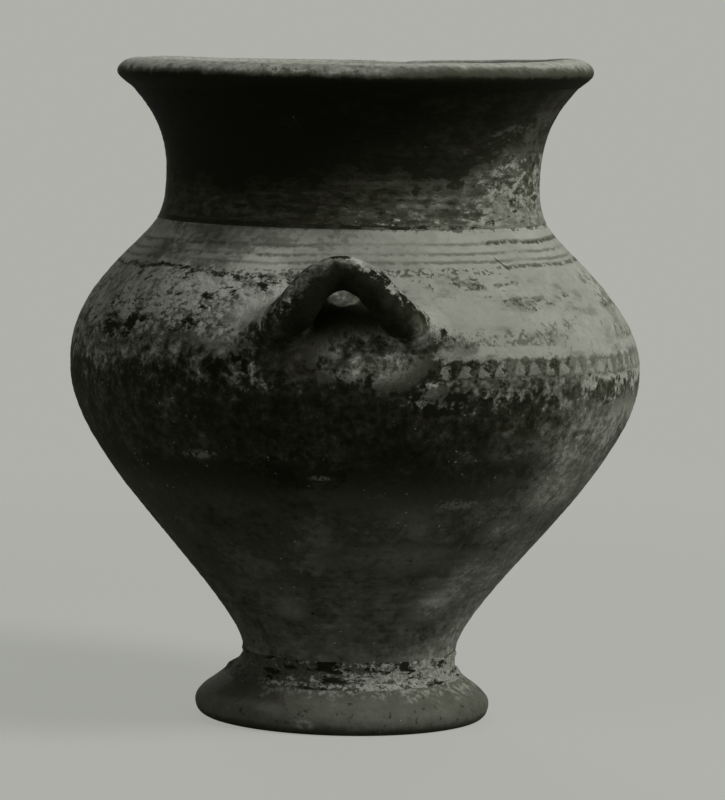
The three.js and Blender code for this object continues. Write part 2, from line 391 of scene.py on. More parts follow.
class HandleRoll:
    """A clay roll bent into a loop that thickens towards both ends."""

    def __init__(self):
        right = np.array(HANDLE_PATH, float)
        left = right[:0:-1] * (-1, 1, 1)
        knots = np.concatenate([left, right])
        ends = 2 * knots[[0, -1]] - knots[[1, -2]]
        knots = np.concatenate([ends[:1], knots, ends[1:]])
        rows = []
        for before, start, end, after in zip(knots, knots[1:], knots[2:], knots[3:]):
            t = np.linspace(0, 1, KNOT_STEPS, endpoint=False)[:, None]
            pull = (end - before) / 2
            push = (after - start) / 2
            rows.append(
                start + pull * t
                + (3 * (end - start) - 2 * pull - push) * t ** 2
                + (2 * (start - end) + pull + push) * t ** 3
            )
        rows.append(knots[-2:-1])
        path = np.concatenate(rows)
        self.path = path * (1, -1, 1)
        length = np.concatenate([[0], np.linalg.norm(np.diff(path, axis=0), axis=1).cumsum()])
        self.along = 2 * length / length[-1] - 1

    def centre(self, along):
        """Points on the roll's own axis at places along it (-1 to 1)."""
        return np.stack(
            [np.interp(along, self.along, self.path[:, axis]) for axis in range(3)], axis=1
        )

    def surface(self, along, angle, grow=0.0):
        """Points of the roll at places along it and angles round it, and their directions."""
        centre = self.centre(along)
        run = self.centre(along + RUN_STEP) - self.centre(along - RUN_STEP)
        run /= np.linalg.norm(run, axis=1, keepdims=True)
        across = np.cross(run, (0, -1, 0))
        across /= np.linalg.norm(across, axis=1, keepdims=True)
        out = np.cross(across, run)
        radius = HANDLE_TOP_RADIUS + (HANDLE_END_RADIUS - HANDLE_TOP_RADIUS) * along ** 2
        ring = across * np.cos(angle)[:, None] + out * np.sin(angle)[:, None]
        return centre + ring * (radius + grow)[:, None], ring

    def reaching(self, angle, side, depth):
        """Places along the roll, towards one side, where it lies that deep in the wall."""
        near, far = (np.full(len(angle), place) for place in ROOT_SEARCH)
        for _ in range(ROOT_ROUNDS):
            middle = (near + far) / 2
            points, _ = self.surface(side * middle, angle)
            deep = wall_depth(points) > depth
            far = np.where(deep, middle, far)
            near = np.where(deep, near, middle)
        return side * near


def placed_handle(points, turn):
    """Turns points of the front handle to its place round the jar."""
    angle = math.radians(turn)
    x, y, z = points.T
    cos, sin = math.cos(angle), math.sin(angle)
    return settled(np.stack([x * cos - y * sin, x * sin + y * cos, z], axis=1))


def pressed(points, ring, turn, form, share=1.0):
    """Points of a handle moved by the finger marks at their place on the jar."""
    return points + ring * (share * handle_relief(placed_handle(points, turn), form))[:, None]


def make_handle(face, turn, form, finish):
    """Bends one roll from root to root."""
    roll = HandleRoll()
    angle = np.linspace(0, 2 * math.pi, HANDLE_SIDES, endpoint=False)
    left = roll.reaching(angle, -1, ROOT_DEPTH)
    right = roll.reaching(angle, 1, ROOT_DEPTH)
    rows = []
    for part in np.linspace(0, 1, HANDLE_STEPS):
        points, ring = roll.surface(left + (right - left) * part, angle)
        rows.append(pressed(points, ring, turn, form))
    faces = ring_faces(HANDLE_STEPS, HANDLE_SIDES, closed=False)
    faces += end_faces(HANDLE_STEPS, HANDLE_SIDES)
    faces = [corners[::-1] for corners in faces]
    points = placed_handle(np.concatenate(rows), turn)
    add_piece(f"{face}_handle", points, faces, [finish])


def make_collar(face, turn, side, form, finish):
    """Smears the clay of one handle root out over the wall in a hollow fillet."""
    roll = HandleRoll()
    angle = np.linspace(0, 2 * math.pi, HANDLE_SIDES, endpoint=False)
    corner_place = roll.reaching(angle, side, 0)
    corner, ring = roll.surface(corner_place, angle)
    spread = corner - corner.mean(axis=0)
    spread /= np.linalg.norm(spread, axis=1, keepdims=True)
    upper = np.array((side, 0, WEB_LEAN)) / math.hypot(1, WEB_LEAN)
    web = np.clip(spread @ upper, 0, 1)
    top, _ = roll.surface(corner_place - side * (COLLAR_RISE + WEB_RISE * web), angle)
    edge = corner + spread * (COLLAR_REACH + WEB_REACH[side] * web)[:, None]
    for _ in range(EDGE_ROUNDS):
        radial = edge * (1, 1, 0) / np.hypot(edge[:, 0], edge[:, 1])[:, None]
        edge = edge + radial * (wall_depth(edge) - COLLAR_DEPTH)[:, None]
    rows = []
    for t in np.linspace(0, 1, COLLAR_STEPS):
        points = (1 - t) ** 2 * top + 2 * t * (1 - t) * corner + t ** 2 * edge
        rows.append(pressed(points, ring, turn, form, COLLAR_PRESS))
    sunk, _ = roll.surface(roll.reaching(angle, side, COLLAR_CORE), angle, -COLLAR_CORE)
    rows.extend([sunk, top - ring * COLLAR_CORE])
    faces = ring_faces(len(rows), HANDLE_SIDES, closed=True)
    if side > 0:
        faces = [corners[::-1] for corners in faces]
    hand = "right" if side > 0 else "left"
    points = placed_handle(np.concatenate(rows), turn)
    add_piece(f"{face}_handle_{hand}_collar", points, faces, [finish])


def add_node(tree, kind, *values, operation=None):
    """Adds a node and feeds its inputs in order; None leaves one as it is."""
    node = tree.nodes.new("ShaderNode" + kind)
    if operation:
        node.operation = operation
    for socket, value in zip(node.inputs, values):
        if isinstance(value, bpy.types.NodeSocket):
            tree.links.new(value, socket)
        elif value is not None:
            socket.default_value = value
    return node


def add_ramp(tree, value, low, high, least, most):
    """Goes softly from least where value is low to most where it is high."""
    node = add_node(tree, "MapRange", value, low, high, least, most)
    node.interpolation_type = "SMOOTHSTEP"
    return node.outputs["Result"]


def jar_place():
    """Node group: a point's turn in degrees, and its height, radius and place in millimetres."""
    known = bpy.data.node_groups.get("jar_place")
    if known:
        return known
    group = bpy.data.node_groups.new("jar_place", "ShaderNodeTree")
    kinds = {"Turn": "Float", "Height": "Float", "Radius": "Float", "Place": "Vector"}
    for name, kind in kinds.items():
        group.interface.new_socket(name, in_out="OUTPUT", socket_type="NodeSocket" + kind)
    metres = add_node(group, "TexCoord").outputs["Object"]
    place = add_node(group, "VectorMath", metres, None, None, 1 / MM, operation="SCALE").outputs[0]
    x, y, height = add_node(group, "SeparateXYZ", place).outputs
    forward = add_node(group, "Math", y, -1, operation="MULTIPLY").outputs[0]
    angle = add_node(group, "Math", x, forward, operation="ARCTAN2").outputs[0]
    turn = add_node(group, "Math", angle, operation="DEGREES").outputs[0]
    level = add_node(group, "VectorMath", place, (1, 1, 0), operation="MULTIPLY").outputs[0]
    radius = add_node(group, "VectorMath", level, operation="LENGTH").outputs["Value"]
    out = group.nodes.new("NodeGroupOutput")
    for name, value in zip(kinds, (turn, height, radius, place)):
        group.links.new(value, out.inputs[name])
    return group


def worn_tones(colours):
    """Node group that turns a level of wear into a colour, from paint at 0 to lime at 1; on some
    finishes the level also carries painted light and shade.
    """
    known = bpy.data.node_groups.get("worn_tones")
    if known:
        return known
    group = bpy.data.node_groups.new("worn_tones", "ShaderNodeTree")
    group.interface.new_socket("Level", in_out="INPUT", socket_type="NodeSocketFloat")
    group.interface.new_socket("Color", in_out="OUTPUT", socket_type="NodeSocketColor")
    source = group.nodes.new("NodeGroupInput")
    ladder = add_node(group, "ValToRGB", source.outputs["Level"])
    steps = [
        colours.dark_paint, colours.body_wash, colours.grey_clay, colours.pale_slip, colours.lime,
    ]
    stops = ladder.color_ramp.elements
    for number, colour in enumerate(steps):
        place = number / (len(steps) - 1)
        stop = stops[0] if number == 0 else stops[-1] if place == 1 else stops.new(place)
        stop.color = (*colour, 1)
    out = group.nodes.new("NodeGroupOutput")
    group.links.new(ladder.outputs["Color"], out.inputs["Color"])
    return group


class Finish:
    """One worn surface, built up as a level of wear in the jar's own coordinates; on some finishes the
    level also carries painted light and shade.
    """

    def __init__(self, name, colours, level):
        self.material = bpy.data.materials.new(name)
        self.material.use_nodes = True
        self.tree = self.material.node_tree
        self.shader = self.tree.nodes["Principled BSDF"]
        self.shader.inputs["Specular IOR Level"].default_value = 0.02
        self.tones = worn_tones(colours)
        place = self.tree.nodes.new("ShaderNodeGroup")
        place.node_tree = jar_place()
        self.turn = place.outputs["Turn"]
        self.height = place.outputs["Height"]
        self.radius = place.outputs["Radius"]
        self.place = place.outputs["Place"]
        self.side = self.sideways(0)
        self.level = level

    def math(self, operation, *values):
        return add_node(self.tree, "Math", *values, operation=operation).outputs[0]

    def ramp(self, value, low, high, least=0.0, most=1.0):
        """Goes softly from least where value is low to most where it is high."""
        return add_ramp(self.tree, value, low, high, least, most)

    def sideways(self, ahead):
        """1 on the jar's right and -1 on its left, taken some degrees ahead."""
        return self.math("SINE", self.math("RADIANS", self.plus(self.turn, ahead)))

    def from_handle(self):
        """Degrees round the jar from the nearer handle."""
        return self.math("WRAP", self.minus(self.turn, HANDLE_TURNS["front"]), 90, -90)

    def scaled(self, size, seed, squash=(1, 1, 1)):
        """Coordinates in which features of that size in millimetres are 1 wide."""
        stretch = [part / size for part in squash]
        moved = (seed, -1.3 * seed, 0.7 * seed)
        return add_node(
            self.tree, "VectorMath", self.place, stretch, moved, operation="MULTIPLY_ADD"
        ).outputs[0]

    def noise(self, size, detail, seed, squash=(1, 1, 1), roughness=0.55):
        """Noise from about -1 to 1 with features of that size in millimetres."""
        place = self.scaled(size, seed, squash)
        node = add_node(self.tree, "TexNoise", place, None, 1, detail, roughness)
        return self.math("MULTIPLY_ADD", node.outputs["Fac"], 4, -2)

    def specks(self, spacing, half, share, seed):
        """Small round specks, one to a share of cells that are spacing apart."""
        cells = add_node(self.tree, "TexVoronoi", self.scaled(spacing, seed), None, 1)
        lot = add_node(self.tree, "SeparateColor", cells.outputs["Color"]).outputs[0]
        near = self.ramp(cells.outputs["Distance"], half / spacing, 0.5 * half / spacing)
        return self.times(near, self.math("LESS_THAN", lot, share))

    def lumps(self, size, seed):
        """Distance from the middles of close-set, uneven lumps, in lump sizes."""
        drift = add_node(self.tree, "TexNoise", self.scaled(1.6 * size, seed), None, 1, 4, 0.7)
        pulled = add_node(
            self.tree, "VectorMath", drift.outputs["Color"], (2.4, 2.4, 2.4),
            self.scaled(size, seed), operation="MULTIPLY_ADD",
        ).outputs[0]
        return add_node(self.tree, "TexVoronoi", pulled, None, 1).outputs["Distance"]

    def joined(self, operation, values):
        """Takes values together, two at a time."""
        result = values[0]
        for value in values[1:]:
            result = self.math(operation, result, value)
        return result

    def times(self, *masks):
        return self.joined("MULTIPLY", masks)

    def plus(self, *values):
        return self.joined("ADD", values)

    def most(self, *masks):
        return self.joined("MAXIMUM", masks)

    def minus(self, value, amount):
        return self.math("SUBTRACT", value, amount)

    def rest(self, mask):
        return self.minus(1, mask)

    def torn(self, value, *noises):
        """A value moved up and down by noises, each by its own reach."""
        for noise_value, reach in noises:
            value = self.math("MULTIPLY_ADD", noise_value, reach, value)
        return value

    def mixed(self, start, end, mask):
        """Goes from start where the mask is 0 to end where it is 1."""
        return self.torn(start, (mask, self.minus(end, start)))

    def oval(self, turn, middle, half_turn, height, half_height):
        """Distance from the middle of an oval on the wall, 1 on its edge."""
        across = self.math("DIVIDE", self.minus(turn, middle), half_turn)
        up = self.math("DIVIDE", self.minus(self.height, height), half_height)
        return self.math("SQRT", self.plus(self.times(across, across), self.times(up, up)))

    def band(self, value, low, high, soft):
        """1 between low and high, falling to 0 over soft on both sides."""
        return self.times(
            self.ramp(value, low - soft, low), self.ramp(value, high + soft, high)
        )

    def line(self, value, middle, half, soft):
        """A painted line of that half width where value passes middle."""
        off = self.math("ABSOLUTE", self.minus(value, middle))
        return self.ramp(off, half + soft, half)

    def patch(self, turn, height, half_turn, half_height, *noises):
        """An irregular patch centred on a turn and height."""
        away = self.oval(self.turn, turn, half_turn, height, half_height)
        return self.ramp(self.torn(away, *noises), 1, 0.5)

    def add(self, *noises):
        """Moves the level up and down by noises, each by its own reach."""
        self.level = self.torn(self.level, *noises)

    def sink(self, amount, *masks):
        """Lowers the level by an amount where the masks are 1, as paint does."""
        self.add((self.times(*masks), -amount))

    def toward(self, level, *masks):
        """Brings the level to another where the masks are 1."""
        self.level = self.mixed(self.level, level, self.times(*masks))

    def done(self, bump, depth):
        """Links the colour and roughness of the level, and a bump in millimetres."""
        tones = self.tree.nodes.new("ShaderNodeGroup")
        tones.node_tree = self.tones
        self.tree.links.new(self.level, tones.inputs[0])
        relief_node = add_node(self.tree, "Bump", 1, depth * MM, None, bump)
        shares = {
            "Base Color": tones.outputs[0],
            "Roughness": self.ramp(self.level, 0, 1, 0.72, 0.92),
            "Normal": relief_node.outputs[0],
        }
        for name, value in shares.items():
            self.tree.links.new(value, self.shader.inputs[name])
        return self.material


def pale_slip(f, clouds, wear, flakes, side, left):
    """Pale slip on the shoulder, run and soiled below the neck."""
    f.add((f.side, 0.03), (clouds, 0.04), (wear, 0.05), (flakes, 0.035))
    f.toward(0.96, f.ramp(side, -0.6, -0.9), 0.85)
    runs = f.torn(f.noise(16, 5, 13.9, squash=(0.5, 0.5, 1.4)), (flakes, 0.2))
    f.sink(0.2, f.band(f.side, -0.82, -0.5, 0.14), f.ramp(f.height, 173, 176), f.ramp(runs, -0.4, 0.5))
    haze = f.torn(f.noise(11, 6, 81.3, squash=(0.6, 0.6, 1.5), roughness=0.62), (flakes, 0.2))
    f.sink(0.09, f.rest(left), f.ramp(haze, 0, 0.5), f.ramp(f.height, *SLIP_EDGE))
    dirt = f.ramp(f.torn(haze, (wear, 0.5), (flakes, 0.6)), -0.1, 0.7)
    f.sink(0.13, dirt, f.ramp(f.height, 174, 177), f.ramp(f.side, 0.4, -0.1, 0.3, 1))
    under_neck = f.ramp(f.torn(f.height, (clouds, 2), (wear, 1.5), (flakes, 1)), 183.5, 187.5)
    f.sink(0.07, under_neck, f.ramp(f.side, 0.15, -0.15))
    drips = f.ramp(f.torn(f.height, (wear, 2.4), (flakes, 2)), 189.6, 190.2)
    f.toward(f.torn(0.5, (flakes, 0.3)), drips, 0.8)


def painted_lines(f, clouds, wear, flakes):
    """Thin lines round the top of the shoulder; two break into broad, ragged strokes."""
    height = f.torn(f.height, (f.side, -1.4), (flakes, 0.5), (clouds, 0.5))
    strokes = f.times(f.ramp(f.turn, 36.5, 38), f.ramp(f.turn, 152, 148))
    faded = f.ramp(f.torn(clouds, (flakes, 0.8)), -0.6, 0.4, 0.3, 1)
    for middle in SHOULDER_LINES:
        f.sink(0.17, f.line(height, middle, 0.1, 0.8), faded)
    speckle = f.torn(f.noise(1.5, 3, 63.7), (wear, 0.5))
    ragged = f.ramp(f.torn(flakes, (speckle, 0.4)), -0.5, 0.1)
    f.sink(0.26, strokes, f.line(height, UPPER_STROKE, 0.35, 0.8), ragged)
    f.sink(0.28, strokes, f.line(height, LOWER_STROKE, 0.25, 0.7), ragged)
    broken = f.ramp(speckle, -0.05, 0.35)
    f.sink(0.3, f.rest(strokes), f.line(height, SPECKLED_LINE, 0.5, 1.3), broken)
    jog = f.torn(f.height, (f.minus(f.turn, JOG_TURN), 1.6))
    jog_band = f.band(f.turn, JOG_TURN - JOG_HALF, JOG_TURN + JOG_HALF, 0.3)
    f.sink(0.3, f.line(jog, JOG_HEIGHT, 0.35, 0.5), jog_band)


def painted_rows(f, clouds, wear, flakes):
    """Two rows of worn dabs, a row of small triangles and a chain of tent-shaped cells."""
    turn = f.torn(f.turn, (flakes, 0.45), (wear, 0.5))
    height = f.torn(f.height, (flakes, 0.7), (clouds, 0.6))
    speckle = f.torn(f.noise(1.4, 3, 65.1), (wear, 0.4))
    front = f.band(f.turn, 6, 66, 4)
    kept = f.ramp(f.torn(f.noise(34, 2, 41.7), (flakes, 0.3)), -0.4, 0.3, 0.25, 1)
    elsewhere = f.times(f.rest(front), kept)
    wide_turn = f.torn(f.turn, (wear, 6))
    dabs = f.torn(f.noise(6.2, 4, 17.9, squash=(0.8, 0.8, 1.3), roughness=0.6), (flakes, 0.2))
    upper = f.plus(elsewhere, f.times(front, f.band(wide_turn, 17, 37, 3)))
    lower = f.plus(elsewhere, f.times(front, f.band(wide_turn, 34, 56, 4), 0.8))
    rows = f.most(
        f.times(f.band(height, *UPPER_DABS, 1.4), upper),
        f.times(f.band(height, *LOWER_DABS, 1.6), lower),
    )
    dots = f.times(rows, f.ramp(dabs, 0, 0.36))
    f.sink(0.12, dots)
    f.sink(0.32, dots, f.ramp(speckle, -0.1, 0.4))
    low_rows = f.times(f.band(height, 145, 154, 3), f.ramp(f.side, 0.85, 0.6))
    f.sink(0.14, low_rows, f.ramp(f.torn(clouds, (wear, 0.8), (flakes, 0.5)), -0.3, 0.5))
    tooth = f.math("PINGPONG", turn, TRIANGLE_HALF)
    peak = f.torn(f.minus(height, TRIANGLE_FOOT), (tooth, -2.1))
    outline = f.times(f.line(peak, 0, 0.4, 1.2), f.ramp(height, TRIANGLE_FOOT - 1, TRIANGLE_FOOT))
    base = f.line(height, TRIANGLE_FOOT + 0.4, 0.5, 1.4)
    shown = f.plus(elsewhere, f.times(front, f.band(wide_turn, 20, 42, 5)))
    broken = f.ramp(f.torn(speckle, (wear, 0.6)), -0.5, 0.3)
    f.sink(0.2, f.most(outline, base), shown, broken)
    cell = f.math("PINGPONG", f.torn(turn, (wear, 0.5), (speckle, 0.35)), CELL_HALF)
    height = f.torn(height, (wear, 0.9), (speckle, 0.5))
    chain = f.times(f.ramp(f.torn(height, (cell, 0.7)), *CHAIN_TOP), f.ramp(height, *CHAIN_FOOT))
    slope = f.torn(cell, (f.minus(height, 138.8), -0.2))
    heart = f.times(f.ramp(slope, 0.4, 0.85), f.band(height, 139, 143, 0.7))
    whole = f.ramp(f.torn(clouds, (wear, 0.7), (flakes, 0.9)), -0.5, 0.3, 0.5, 1)
    side_on = f.ramp(f.side, 0.66, 0.8, 1, 0.32)
    grainy = f.ramp(f.torn(speckle, (flakes, 0.8)), -0.5, 0.5, 0.65, 1)
    f.sink(0.78, chain, f.rest(f.times(heart, 0.72)), whole, grainy, side_on)


def crusted_slip(f, clouds, wear, flakes, side, left, height):
    """Soiled slip on the right, chalky crust with fallen flakes on the left; gives its relief."""
    soiled = f.times(f.rest(left), f.ramp(f.height, 176, 172), f.ramp(f.height, 172, 150, 0.35, 1))
    soil = f.torn(f.noise(3, 7, 87.9, roughness=0.72), (clouds, 0.35), (flakes, 0.25))
    f.sink(0.14, soiled, f.ramp(soil, 0.3, 0.5))
    crust = f.times(left, f.band(height, *CRUST_BAND, 2))
    lumps = f.torn(f.lumps(2.4, 71.7), (f.lumps(6, 75.3), 0.25), (wear, 0.2), (flakes, 0.2))
    pits = f.noise(5.2, 8, 27.7, squash=(0.65, 0.65, 1.2), roughness=0.72)
    pits = f.torn(pits, (clouds, 0.3), (flakes, 0.2))
    chalk = f.noise(4.4, 8, 83.1, squash=(0.65, 0.65, 1.2), roughness=0.74)
    chalk = f.ramp(f.torn(chalk, (clouds, 0.25)), -0.16, 0.06)
    low = f.ramp(f.height, 166, 150, 0, 0.22)
    f.toward(f.torn(0.93, (flakes, 0.3), (lumps, -0.1), (low, -0.7)), crust)
    f.toward(f.torn(1.1, (flakes, 0.12), (lumps, -0.1), (low, -0.7)), crust, chalk)
    f.toward(0.45, crust, f.ramp(f.plus(lumps, low), 0.9, 1.06), 0.75)
    f.toward(0.5, crust, f.ramp(f.plus(pits, low), 0.24, 0.36), 0.75)
    f.toward(0.08, crust, f.ramp(f.plus(pits, low), 0.42, 0.52))
    crack = f.line(f.torn(f.height, (wear, 1.6), (clouds, 2)), CRACK_HEIGHT, 0.25, 0.6)
    f.toward(0.15, f.ramp(f.side, -0.3, -0.4), crack, f.ramp(flakes, -0.4, 0.1))
    stain = f.torn(0.64, (wear, 0.4), (flakes, 0.34), (clouds, 0.1))
    f.toward(stain, left, f.ramp(height, 153, 146))
    rim = f.times(f.ramp(side, -0.8, -0.94), f.ramp(f.height, *SLIP_EDGE))
    f.toward(f.torn(0.84, (clouds, 0.14), (flakes, 0.2)), rim, 0.75)
    return f.times(crust, f.minus(f.ramp(pits, 0.5, 0.2), lumps))


def root_tone(f, from_handle, wear, flakes):
    """Tone of the paint at the handle roots, paler low down on the right."""
    right = f.ramp(f.height, 163, 151, 0.2, 0.62)
    return f.torn(f.ramp(from_handle, -9, 9, 0.24, right), (wear, 0.26), (flakes, 0.3))


def handle_stains(f, clouds, wear, flakes):
    """Dark paint on and round the handle roots, worn again in a patch between them. A dark patch below
    the handle is partly painted shade, the wall behind the loop is painted shade, and a pale spot on
    it is painted light.
    """
    from_handle = f.from_handle()
    web = f.torn(f.oval(from_handle, -20, 8, 159, 9), (wear, 0.35), (flakes, 0.25))
    f.toward(f.torn(0.8, (wear, 0.4), (flakes, 0.35)), f.ramp(web, 1.1, 0.7, 0, 0.9))
    smear = f.torn(f.oval(from_handle, 24, 11, 160, 6), (wear, 0.6), (flakes, 0.3))
    f.toward(f.torn(0.9, (clouds, 0.02), (flakes, 0.04)), f.ramp(smear, 1.3, 0.3, 0, 0.85))
    # A dark patch round and below the handle: partly a stain, partly painted shade under the handle.
    stain_and_painted_shade = f.oval(from_handle, 0, 20, 145, 19)
    stain_and_painted_shade = f.torn(stain_and_painted_shade, (wear, 0.3), (clouds, 0.12), (flakes, 0.22))
    f.toward(f.torn(0.3, (wear, 0.3), (flakes, 0.24)), f.ramp(stain_and_painted_shade, 1.1, 0.88))
    between = f.torn(f.oval(from_handle, 4, 12.5, 145.5, 14), (wear, 0.45), (flakes, 0.4))
    f.toward(f.torn(0.58, (wear, 0.45), (flakes, 0.5)), f.ramp(between, 1.05, 0.7))
    # Painted shade: the wall behind the loop, between the handle's legs, is painted near black where
    # the handle shades it.
    f.toward(
        0.14,
        f.ramp(f.torn(f.height, (wear, 3), (flakes, 2)), 153, 160),
        f.ramp(f.torn(f.height, (wear, 2), (flakes, 1.5)), 170, 166),
        f.band(f.torn(from_handle, (wear, 2)), -10, 10, 3),
    )
    # Painted light: a pale spot on that wall where light passes behind the loop and shows through it.
    light = f.torn(f.oval(from_handle, -1.2, 3.7, 166, 3.4), (flakes, 0.2))
    f.toward(f.torn(0.68, (flakes, 0.35), (wear, 0.1)), f.ramp(light, 1.1, 0.85))
    down = f.minus(165, f.height)
    right_of = f.minus(from_handle, f.torn(12.9, (down, 0.22)))
    left_of = f.minus(f.torn(-12.2, (down, -0.3)), from_handle)
    outside = f.most(
        f.ramp(f.torn(right_of, (wear, 2.4), (flakes, 1.8)), -0.6, 0.8),
        f.ramp(f.torn(left_of, (wear, 4), (flakes, 2.4)), -1.5, 1.5),
    )
    bulge = f.math("POWER", f.math("MAXIMUM", f.minus(f.height, 130), 0), 2.25)
    standing = f.plus(f.radius, f.times(bulge, 0.00438), -109)
    root = f.ramp(f.torn(standing, (wear, 0.8), (flakes, 0.6)), 0.8, 2.2)
    near = f.times(f.band(from_handle, -32, 32, 2), f.band(f.height, 141, 169, 2))
    f.toward(root_tone(f, from_handle, wear, flakes), root, near, f.rest(outside))


def wash_tone(f, clouds, wear, flakes, side, height):
    """Tone of the dark wash, greyer low down and worn to the clay on the right, with a painted
    highlight along its right edge.
    """
    right = f.ramp(side, 0.4, 0.86)
    tone = f.plus(0.19, f.ramp(height, 106, 86, 0, 0.32), f.ramp(height, 80, 46, 0, 0.08))
    tone = f.torn(tone, (f.times(f.ramp(side, -0.3, -0.85), f.ramp(height, 84, 108)), 0.08))
    spots = f.ramp(f.torn(flakes, (wear, 0.4), (f.noise(1.1, 3, 5.1), 0.5)), -0.25, 0.25)
    worn_tone = f.ramp(height, 84, 50, 0.6, 0.74)
    worn_tone = f.torn(worn_tone, (spots, f.ramp(height, 50, 90, 0.07, 0.11)))
    tone = f.mixed(tone, worn_tone, right)
    # Painted highlight: the wash is painted pale along the right edge of the belly, above its lower
    # part.
    painted_highlight_edge = f.times(f.ramp(f.torn(f.side, (wear, 0.06)), 0.84, 0.94), f.ramp(height, 106, 118))
    tone = f.mixed(tone, 0.82, painted_highlight_edge)
    upper = f.times(f.ramp(f.height, 96, 122, 0.42, 1), f.rest(f.times(right, 0.5)))
    return f.torn(tone, (clouds, 0.15), (f.times(wear, upper), 0.3), (f.times(flakes, upper), 0.26))


def dark_wash(f, clouds, wear, flakes, side, height):
    """Dark wash below a ragged edge, over slip that is worn above it; gives the wash's mask."""
    wash_top = f.torn(f.ramp(f.side, 0, 0.2, *WASH_TOP), (f.side, -6))
    above_wash = f.minus(f.torn(height, (wear, 3), (flakes, 3)), wash_top)
    in_front = f.band(f.side, -0.3, 0.3, 0.06)
    worn = f.most(
        f.times(f.ramp(above_wash, 8, 2), f.rest(in_front)), f.band(f.side, 0.36, 0.72, 0.1)
    )
    worn_slip = f.torn(0.54, (wear, 0.35), (flakes, 0.35))
    f.toward(worn_slip, worn, f.ramp(f.torn(f.height, (flakes, 1)), 138.8, 137.2))
    thin, thick = (f.ramp(f.side, -0.5, -0.2, *edge) for edge in ((5, 2), (-10, -4)))
    wash = f.ramp(above_wash, thin, thick)
    f.toward(wash_tone(f, clouds, wear, flakes, side, height), wash)
    f.sink(0.1, f.band(side, -0.8, -0.26, 0.14), f.band(height, 60, 103, 6))
    return wash


def rubbed_places(f, clouds, wear, flakes, wash):
    """Places where the wash is thin, thick, scuffed, smeared or specked with lime."""
    tears = ((wear, 0.6), (flakes, 0.4))
    for *spot, change in THIN_PLACES:
        f.add((f.patch(*spot, *tears), change))
    for *spot, change in THICK_PLACES:
        f.sink(change, f.patch(*spot, *tears))
    scuffs = f.torn(f.noise(4.5, 6, 9.3, squash=(0.35, 0.35, 1), roughness=0.72), (clouds, 0.4))
    f.toward(0.62, wash, f.ramp(scuffs, 0.5, 0.74), f.ramp(flakes, -0.3, 0.2), 0.65)
    f.toward(0.06, wash, f.ramp(f.torn(flakes, (clouds, 0.3)), -0.62, -0.85), 0.7)
    blot = f.patch(60, 131.5, 9, 5, (wear, 0.6), (flakes, 0.5))
    f.toward(f.torn(0.42, (flakes, 0.4)), blot, 0.9)
    smears = f.most(*(
        f.patch(*spot, (wear, by_wear), (flakes, by_flakes))
        for *spot, by_wear, by_flakes in SMEARED_PLACES
    ))
    f.toward(0.76, smears, f.ramp(flakes, -0.3, 0.1, 0.2, 0.9))
    streak = f.noise(2, 4, 2.4, squash=(0.1, 0.1, 1))
    f.add((f.times(streak, f.ramp(f.height, 96, 60)), 0.06))
    dusty = f.ramp(f.torn(clouds, (wear, 0.4)), -0.4, 0.3)
    f.toward(1, f.specks(2.5, 0.5, 0.24, 23.3), dusty, f.ramp(f.height, 140, 132), 0.8)


def body_finish(colours):
    """Pale painted shoulder and dark washed body, worn together across their joints."""
    f = Finish("body_slip", colours, 0.88)
    clouds = f.noise(26, 4, 3.3)
    wear = f.noise(7, 8, 11.1, roughness=0.7)
    flakes = f.noise(2.8, 6, 7.7, roughness=0.66)
    side = f.torn(f.side, (clouds, 0.1), (wear, 0.12))
    height = f.torn(f.height, (clouds, 5), (wear, 6), (flakes, 3))
    left = f.ramp(side, -0.1, -0.28)
    pale_slip(f, clouds, wear, flakes, side, left)
    painted_lines(f, clouds, wear, flakes)
    painted_rows(f, clouds, wear, flakes)
    crust = crusted_slip(f, clouds, wear, flakes, side, left, height)
    handle_stains(f, clouds, wear, flakes)
    wash = dark_wash(f, clouds, wear, flakes, side, height)
    rubbed_places(f, clouds, wear, flakes, wash)
    rugged = f.torn(0.12, (f.times(left, f.ramp(f.height, *SLIP_EDGE)), 0.5), (wash, 0.15))
    bump = f.times(f.plus(wear, flakes), rugged)
    return f.done(f.torn(bump, (f.noise(1.1, 3, 5.1), 0.06), (crust, 1.2)), 0.3)


